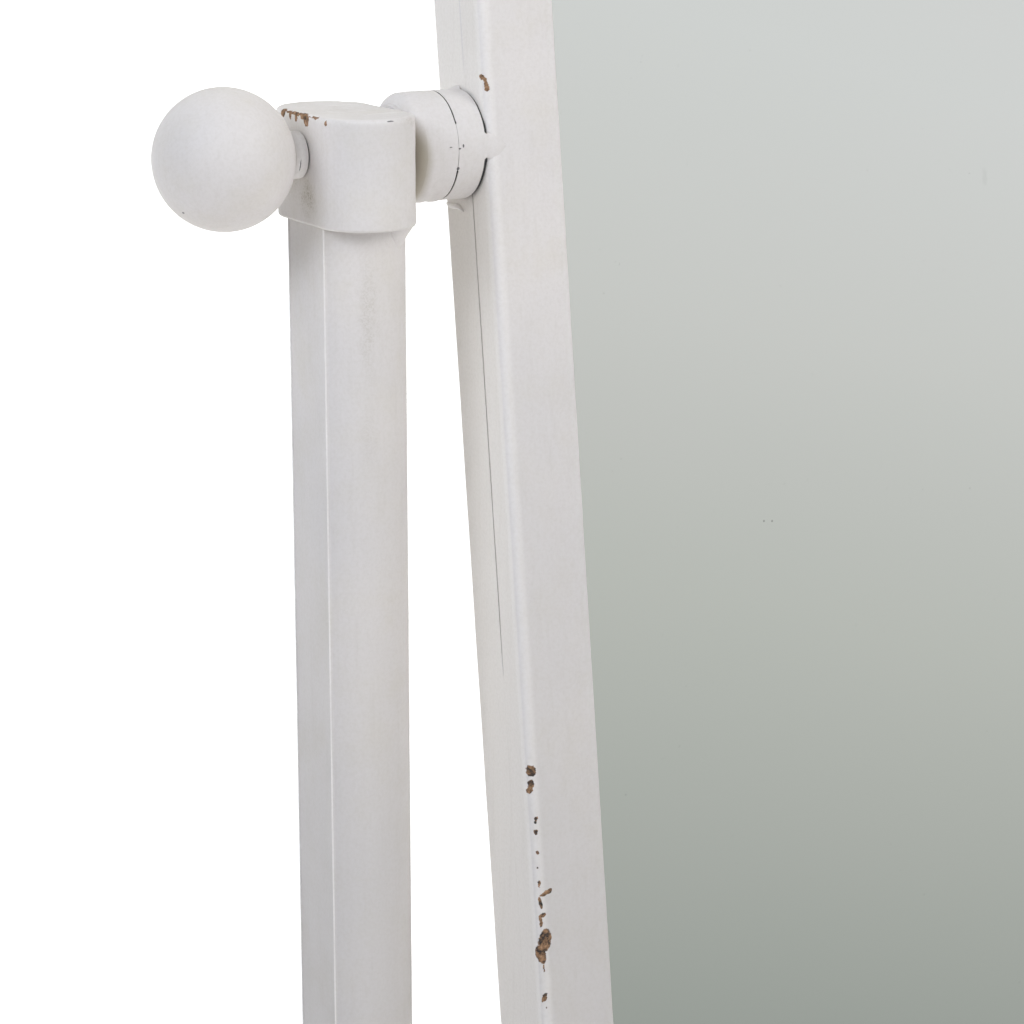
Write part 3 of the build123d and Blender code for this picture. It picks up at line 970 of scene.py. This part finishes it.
def add_screw(screws, base, inward, along):
    """A pan-head screw in a clip's upright leg: its stem, its domed head, and a crossed recess in that."""
    centre = seam_ahead - 6.5
    head = 2.8
    tall = 1.6
    slot = 0.42
    arm = 1.5
    levels = [(-3.8, 1.3), (-3.4, 1.5), (clip_sheet, 1.5), (clip_sheet, head - 0.2),
              (clip_sheet + 0.25, head), (clip_sheet + 0.9, head - 0.15), (clip_sheet + 1.35, head - 0.75),
              (clip_sheet + tall, 1.75)]
    around = []
    for quarter in range(4):
        turn = quarter * pi / 2
        for x, y in ((slot, slot), (slot, arm), (-slot, arm)):
            around.append((x * cos(turn) - y * sin(turn), x * sin(turn) + y * cos(turn)))
    angles = [atan2(y, x) for x, y in around]
    sections = [(out, 0.0, [(radius * cos(a), radius * sin(a)) for a in angles]) for out, radius in levels]
    sections += [(clip_sheet + tall, 0.0, around), (clip_sheet + 0.6, 1.0, around)]
    screws.add([[(on_mirror(*(base + inward * out + along * x), centre + y), 0.2, dirt_and_shade) for x, y in section]
                for out, dirt_and_shade, section in sections])


# ---- base ----
def rounded_box(half_x, half_z, radius):
    """A rounded rectangle, anticlockwise, as (x, z, edge)."""
    points = []
    for x, z, start in ((1, -1, -90), (1, 1, 0), (-1, 1, 90), (-1, -1, 180)):
        corner = (x * (half_x - radius), z * (half_z - radius))
        points += [(px, pz, 0.8) for px, pz in arc(corner, radius, start, start + 90, 6)]
    return points


def foot_section(side, y, low, high, inset=0.0):
    """A ring round a foot of a CAD box's size, pulled in by the inset."""
    outline = rounded_box((high.x - low.x) / 2 - inset, (high.z - low.z) / 2 - inset, max(4.0 - inset, 1.0))
    middle = (low.z + high.z) / 2
    return [((sides[side] * post_x + px, y, middle + pz), worn) for px, pz, worn in outline]


def make_foot(side, material):
    rings = [foot_section(side, y, foot_low, foot_high) for y in steps(foot_low.y, foot_high.y, 6.0)]
    foot = Solid().add(rings).relief(0.07, 15.0, seed=11.0)
    return foot.piece(f"{side}_foot", material, f"{side}_foot_bar")


def make_end_caps(side, material):
    """A shallow domed plug on each end of the foot."""
    edge_radius = 3.0
    joint = foot_high.y
    face = end_high.y - 0.1
    levels = [(joint, 0.35), (joint + 0.35, 0.0), (face - edge_radius, 0.0)]
    levels += [(y, inset) for inset, y in arc((edge_radius, face - edge_radius), edge_radius, 180, 90, 6)[1:]]
    levels += [(face, 7.0), (face, 11.0)]
    caps = Solid()
    for end in (-1, 1):
        # painted shade: the ring at the joint with the foot is darkened
        for_end = [(end * y, inset, 0.7 if y < joint + 0.1 else 0.0) for y, inset in levels]
        caps.add([[(place, 0.6, dirt_and_shade) for place, _ in foot_section(side, y, end_low, end_high, inset)]
                  for y, inset, dirt_and_shade in for_end])
    caps.relief(0.04, 10.0, seed=12.0)
    return caps.piece(f"{side}_foot_ends", material, f"{side}_foot_end_caps")


def make_pads(side, material):
    """Tapered rubber feet with a rounded rim and a grooved wall."""
    x = sides[side] * post_x
    reach = (pad_high.y - pad_low.y) / 2 - 14.0
    pads = Solid()
    for end in (-1, 1):
        levels = [(0.0, 8.0), (0.0, 12.6), (0.35, 13.5), (1.2, 13.9), (3.6, 13.6), (4.0, 13.1), (4.8, 13.1),
                  (5.2, 13.4), (10.6, 12.9), (11.6, 12.6), (12.0, 12.0)]
        pads.add([[((x + radius * c, end * reach + radius * s, z),) for c, s in circle(48)]
                  for z, radius in levels])
    return pads.piece(f"{side}_rubber_pads", material, f"{side}_foot_pads", slot="pad_rubber")


def make_stretcher(material):
    middle = (stretcher_low.z + stretcher_high.z) / 2
    radius = (stretcher_high.z - stretcher_low.z) / 2
    rings = []
    for x in steps(stretcher_low.x, stretcher_high.x, 6.0):
        worn = 0.5 if abs(x) > stretcher_high.x - 5 else 0.0
        rings.append([((x, radius * c, middle + radius * s), worn) for c, s in circle(56)])
    bar = Solid().add(rings).relief(0.07, 16.0, seed=13.0)
    return bar.piece("stretcher", material, "stretcher_tube")


def add_hex_bolt(solid, start, outward, stem):
    """A hexagon bolt: chamfered head and washer face outwards of its seat, and a plain stem inwards."""
    outward = Vector(outward)
    side_on = outward.orthogonal().normalized()
    upward = outward.cross(side_on)
    flat = 6.5
    tall = 5.3
    count = 48
    levels = [(-stem, 3.2, 0.0), (-stem + 0.8, 4.0, 0.0), (0.0, 4.0, 0.0), (0.0, 5.9, 0.0), (0.35, 6.0, 0.0),
              (0.36, 6.5, 0.9), (0.9, 6.9, 1.0), (tall - 1.0, 7.2, 1.0), (tall - 0.3, 6.9, 0.8),
              (tall, 5.9, 0.0), (tall, 3.0, 0.0)]
    rings = []
    for out, radius, hexed in levels:
        ring = []
        for k in range(count):
            a = 2 * pi * k / count
            folded = (a + pi / 6) % (pi / 3) - pi / 6
            limit = min(radius, flat / cos(folded))
            far = radius * (1 - hexed) + limit * hexed
            ring.append((Vector(start) + outward * out + side_on * far * cos(a) + upward * far * sin(a), 0.6))
        rings.append(ring)
    solid.add(rings)


def make_bolts(material):
    """The bolts that come up through the feet into the posts, and in through the posts to the stretcher."""
    upright = Solid()
    level = Solid()
    height = (stretcher_low.z + stretcher_high.z) / 2
    for sign in sides.values():
        add_hex_bolt(upright, (sign * post_x, 0, foot_low.z), (0, 0, -1), 58.0)
        add_hex_bolt(level, (sign * (post_x + post_half_flat), 0, height), (sign, 0, 0), 46.0)
    upright.piece("post_bolts_fitted", material, "post_bolts", slot="zinc_steel", sharp=30.0)
    level.piece("stretcher_bolts_fitted", material, "stretcher_bolts", slot="zinc_steel", sharp=30.0)


# ---- studio ----
# the light from each side: axis, direction along it, and colour
SURROUNDINGS = (
    ("X", -1, (0.17, 0.18, 0.23)),
    ("X", 1, (0.84, 0.83, 0.80)),
    ("Y", -1, (0.06, 0.06, 0.08)),
    ("Y", 1, (1.09, 1.08, 1.02)),
    ("Z", -1, (1.12, 1.10, 1.07)),
    ("Z", 1, (0.47, 0.47, 0.47)),
)
# name, place, target, size, spread, power and colour
SOFTBOXES = (
    ("left_softbox", (-1.30, -0.32, 1.62), (-0.33, 0.0, 1.08), (0.9, 0.8), 60, 1.80, (0.90, 0.94, 1.0)),
    ("right_softbox", (0.35, -1.10, 1.50), (-0.30, 0.0, 1.08), (0.7, 0.7), 60, 1.25, (1.0, 0.99, 0.98)),
    ("front_softbox", (-1.00, -0.90, 1.70), (-0.33, 0.0, 1.08), (0.7, 0.7), 65, 0.22, (0.93, 0.96, 1.0)),
    ("bounce_card", (-0.45, -0.10, 0.35), (-0.40, 0.0, 0.9), (0.5, 0.5), 120, 0.42, (1.0, 1.0, 1.0)),
    ("base_fill", (0.0, -2.2, 0.5), (0.0, 0.0, 0.1), (2.2, 0.5), 60, 3.0, (1.0, 1.0, 1.0)),
    ("top_fill", (0.1, -0.9, 2.05), (0.0, 0.1, 1.58), (1.0, 0.3), 50, 1.3, (1.0, 0.99, 0.98)),
)


# the reflected wall's colours from a metre below the floor to two metres above it
WALL_STOPS = ((0.0, (0.300, 0.315, 0.300)), (0.30, (0.370, 0.395, 0.366)), (0.52, (0.548, 0.566, 0.531)),
              (0.60, (0.605, 0.617, 0.592)), (0.67, (0.658, 0.669, 0.648)), (0.82, (0.726, 0.740, 0.732)),
              (1.0, (0.740, 0.750, 0.745)))


def scenery(name, corner_points, place, material):
    """One flat face that lights nothing."""
    mesh = bpy.data.meshes.new(name)
    mesh.from_pydata(corner_points, [], [(0, 1, 2, 3)])
    mesh.materials.append(material)
    made = bpy.data.objects.new(name, mesh)
    made.location = place
    made.visible_diffuse = False
    bpy.context.scene.collection.objects.link(made)
    return made


def make_floor():
    """A plain pale floor that brightens to white away from the mirror: it glows, painted light that lights
    nothing.
    """
    material, nodes, where = new_material("studio_floor")
    away = nodes.vector("DISTANCE", where, (0, 0, 0), "Value")
    # painted light: the floor's own glow, 0.38 by the mirror and rising to 1 beyond 1.25 m
    shader = nodes.finish(
        base_color=nodes.tint((0.80,) * 3, (0.77,) * 3, nodes.noise(where, 3.0, 3.0), 0.4, 0.6),
        emission_strength=nodes.ramp(away, 0.25, 1.25, 0.38, 1.0))
    shader.inputs["Roughness"].default_value = 0.7
    shader.inputs["Specular IOR Level"].default_value = 0.2
    shader.inputs["Emission Color"].default_value = (1, 1, 1, 1)
    far = 40.0
    points = [(-far, -far, 0), (far, -far, 0), (far, far, 0), (-far, far, 0)]
    scenery("studio_floor", points, (0, 0, -0.0005), material).visible_glossy = False


def make_reflection_wall():
    """What the glass shows: a pale grey wall that darkens towards the floor, hidden from the camera."""
    material, nodes, where = new_material("reflection_wall")
    slope = nodes.math("MULTIPLY", nodes.math("SUBTRACT", nodes.part(where, "X"), 1.6), 0.3)
    height = nodes.math("ADD", nodes.part(where, "Z"), slope)
    height = nodes.add("ShaderNodeMapRange", {0: height, 1: -1.0, 2: 2.0}).outputs[0]
    glow = nodes.add("ShaderNodeEmission", {"Color": nodes.colours(height, WALL_STOPS)}).outputs[0]
    nodes.tree.links.new(glow, nodes.tree.nodes["Material Output"].inputs["Surface"])
    points = [(-9, 0, -3), (9, 0, -3), (9, 0, 6), (-9, 0, 6)]
    wall = scenery("reflection_wall", points, (0, -3, 0), material)
    wall.visible_camera = False
    wall.visible_shadow = False


def make_world():
    """White to the camera. As light it is a soft studio with its own colour on each of its six sides."""
    world = bpy.data.worlds.new("studio")
    bpy.context.scene.world = world
    world.use_nodes = True
    nodes = Nodes(world.node_tree)
    where = nodes.add("ShaderNodeTexCoord").outputs["Generated"]
    total = (0.0, 0.0, 0.0)
    for axis, sign, colour in SURROUNDINGS:
        facing = nodes.math("MULTIPLY", nodes.part(where, axis), float(sign), clamp=True)
        tint = nodes.add("ShaderNodeVectorMath", {0: colour}, operation="SCALE")
        nodes.tree.links.new(nodes.math("MULTIPLY", facing, facing), tint.inputs["Scale"])
        total = nodes.vector("ADD", total, tint.outputs[0])
    light = nodes.add("ShaderNodeBackground", {"Color": total})
    white = nodes.add("ShaderNodeBackground", {"Color": (1, 1, 1, 1)})
    seen = nodes.add("ShaderNodeLightPath").outputs["Is Camera Ray"]
    both = nodes.add("ShaderNodeMixShader", {0: seen, 1: light.outputs[0], 2: white.outputs[0]})
    nodes.tree.links.new(both.outputs[0], nodes.tree.nodes["World Output"].inputs["Surface"])


def add_softbox(name, place, target, size, spread, power, colour):
    """An area light that the camera and the glass don't see. A narrow spread keeps it off the floor."""
    data = bpy.data.lights.new(name, "AREA")
    data.shape = "RECTANGLE"
    data.size, data.size_y = size
    data.spread = radians(spread)
    data.energy = power
    data.color = colour
    lamp = bpy.data.objects.new(name, data)
    aim(lamp, place, Vector(target) - Vector(place))
    lamp.visible_camera = False
    lamp.visible_glossy = False


# ---- wear on the left side ----
# chips along the left stile's front outer edge, from the top down: in from the outside, up the
# mirror, behind its front face, then half sizes (one number for a ball) and a slant in degrees
FRAME_CHIPS = (
    (0.4, 20.2, 0.7, (0.60, 2.5, 1.5), 20),
    (1.1, 17.6, 0.2, (0.75, 2.5, 1.9), 12),
    (1.6, -204.0, 0.3, (1.6, 2.5, 2.1), 20),
    (1.2, -208.6, 0.4, (0.9, 2.5, 1.6), 0),
    (0.6, -210.4, 0.8, 1.3, 0),
    (1.9, -220.0, 0.1, 0.75, 0),
    (1.8, -221.2, 0.1, 0.60, 0),
    (1.7, -224.5, 0.1, 0.85, 0),
    (1.8, -231.5, 0.1, 0.65, 0),
    (1.7, -242.0, 0.2, (0.45, 2.0, 1.1), -10),
    (4.2, -245.4, 0.0, (2.5, 2.0, 0.85), 22),
    (1.9, -248.6, 0.0, (0.7, 2.0, 2.1), 10),
    (2.2, -252.6, 0.0, (1.3, 2.0, 0.8), 25),
    (1.5, -254.8, 0.0, (0.55, 2.0, 1.8), 0),
    (2.6, -261.3, 0.0, (2.3, 2.5, 3.9), -12),
    (1.0, -265.8, 0.4, (1.6, 2.5, 3.2), 12),
    (1.6, -270.4, 0.1, (0.35, 2.0, 1.3), 0),
    (1.2, -280.5, 0.2, (0.7, 2.0, 1.7), -20),
    (1.6, -236.5, 0.15, 0.35, 0),
    (1.5, -284.0, 0.15, 0.38, 0),
)
# the rest are places beside the left pivot: out from the post's centre line, behind it, and above
# the tilt axis; then half sizes, and a strength for stains and for the cap's painted shadow
CAP_CHIPS = (
    ((-15.6, 12.6, 12.1), (2.0, 1.6, 1.7)),
    ((-15.6, 2.5, 12.45), (2.0, 10.5, 0.42)),
    ((-15.6, 7.2, 11.7), (2.0, 0.9, 1.4)),
    ((-15.6, 2.6, 11.6), (2.0, 0.9, 1.5)),
    ((-15.6, -3.0, 12.0), (2.0, 2.5, 1.1)),
    ((-15.6, -4.6, 11.1), (2.0, 1.9, 1.9)),
    ((-15.1, -10.4, 12.4), (2.0, 2.4, 0.4)),
    ((-15.0, -17.6, 11.3), (1.5, 0.7, 0.9)),
)
CAP_MARKS = (((1.2, -29.6, 12.4), (1.3, 0.9, 0.22)),)
CAP_STAINS_AND_SHADE = (
    # speckled dirt, and the knob's painted shadow on the cap's outer face below it
    ((-15.6, -5.0, -13.0), (3.0, 7.5, 8.0), 0.80),
    ((-15.6, 6.0, -6.0), (3.0, 8.0, 11.0), 0.45),
    ((14.6, -21.0, 1.0), (2.4, 5.5, 15.0), 0.60),
    ((14.2, -20.5, 12.0), (3.0, 5.0, 2.2), 0.70),
    ((10.0, -27.0, 13.0), (7.0, 7.0, 2.0), 0.35),
    ((0.0, 0.0, 13.0), (18.0, 30.0, 1.0), 0.16),
)
POST_STAINS = (((-2.0, -19.0, -50.0), (4.0, 8.0, 26.0), 0.26), ((-2.0, -19.0, -88.0), (5.0, 8.0, 16.0), 0.12))
KNOB_MARKS = (((-57.85, -4.9, -14.8), (0.6, 0.6, 0.35)),)
# pits in the collar, then a scratch on the ferrule
PIVOT_MARKS = (
    ((28.4, -17.6, 1.5), (0.55, 1.0, 0.18)),
    ((31.6, -17.6, 0.9), (0.45, 1.0, 0.28)),
    ((32.9, -17.6, 1.6), (0.32, 1.0, 0.60)),
    ((31.4, -16.8, -5.6), (0.55, 1.4, 0.55)),
    ((-19.0, -7.2, -3.6), (0.18, 1.2, 3.2)),
)


def frame_chips():
    """The stile's chips as paint() takes them, slanting in the mirror's plane."""
    chips = []
    for inset, up, behind, half, slant in FRAME_CHIPS:
        turn = Matrix.Rotation(-rest_tilt, 3, "X") @ Matrix.Rotation(-radians(slant), 3, "Y")
        chips.append((on_mirror(inset - half_width, up, front_ahead - behind), half, turn.to_euler("XYZ")))
    return chips


def by_pivot(spots):
    """Move places beside the left pivot into the frame of the whole mirror."""
    return [(Vector(place) + Vector((-post_x, 0, axis_height)), *rest) for place, *rest in spots]


def make_paints():
    return {
        "frame": paint("worn_paint_frame", edge_wear=0.60, painted_side_light=0.85, thick_paint_highlight=0.3),
        "left": paint("worn_paint_left_stile", chips=frame_chips(), painted_side_light=0.85, thick_paint_highlight=0.3),
        "cap": paint("worn_paint_left_cap", by_pivot(CAP_CHIPS), by_pivot(CAP_MARKS), by_pivot(CAP_STAINS_AND_SHADE),
                     thick_paint_highlight=0.5),
        "post": paint("worn_paint_left_post", stains_and_shade=by_pivot(POST_STAINS), thick_paint_highlight=0.65),
        "knob": paint("worn_paint_knobs", marks=by_pivot(KNOB_MARKS)),
        "pivot": paint("worn_paint_pivots", marks=by_pivot(PIVOT_MARKS), thick_paint_highlight=0.9),
        "stand": paint("worn_paint_stand", edge_wear=0.60, thick_paint_highlight=0.3),
    }


# ---- assembly ----
def dress_cad_nodes(finishes):
    """Better finishes for the CAD pieces that stay, by a part of their names."""
    for name, node in frame["nodes"].items():
        for part, material in finishes.items():
            if part in name:
                node.data.materials.clear()
                node.data.materials.append(material)


paints = make_paints()
zinc = steel("zinc_plate", (0.56, 0.56, 0.55), 0.30)
# painted shade: the knob's washer is near-black steel, so that the thin gap beside the ferrule shows dark
shade_dark_steel = steel("shade_dark_steel", (0.11, 0.11, 0.11), 0.50)
rubber = plastic("black_rubber", (0.020, 0.020, 0.021), 0.62)
nylon = plastic("grey_nylon", (0.060, 0.060, 0.062), 0.45)

for side in sides:
    make_post(side, paints["post" if side == "left" else "stand"])
    make_cap(side, paints["cap" if side == "left" else "stand"])
    make_cap_weld(side, paints["pivot"])
    make_knob(side, paints["knob"])
    for make in (make_ferrule, make_collar, make_boss, make_smear, make_curl):
        make(side, paints["pivot"])
    make_foot(side, paints["stand"])
    make_end_caps(side, paints["stand"])
    make_pads(side, rubber)
make_frame(paints)
make_stretcher(paints["stand"])
make_bolts(zinc)
make_glass(mirror_glass())
make_clips(zinc)
dress_cad_nodes({"pivot_stud": zinc, "plugs": zinc, "knob_washer": shade_dark_steel, "friction_washer": nylon,
                 "backing_board": hardboard()})

make_floor()
make_reflection_wall()
make_world()
for softbox in SOFTBOXES:
    add_softbox(*softbox)
bpy.context.scene.view_settings.view_transform = "Standard"
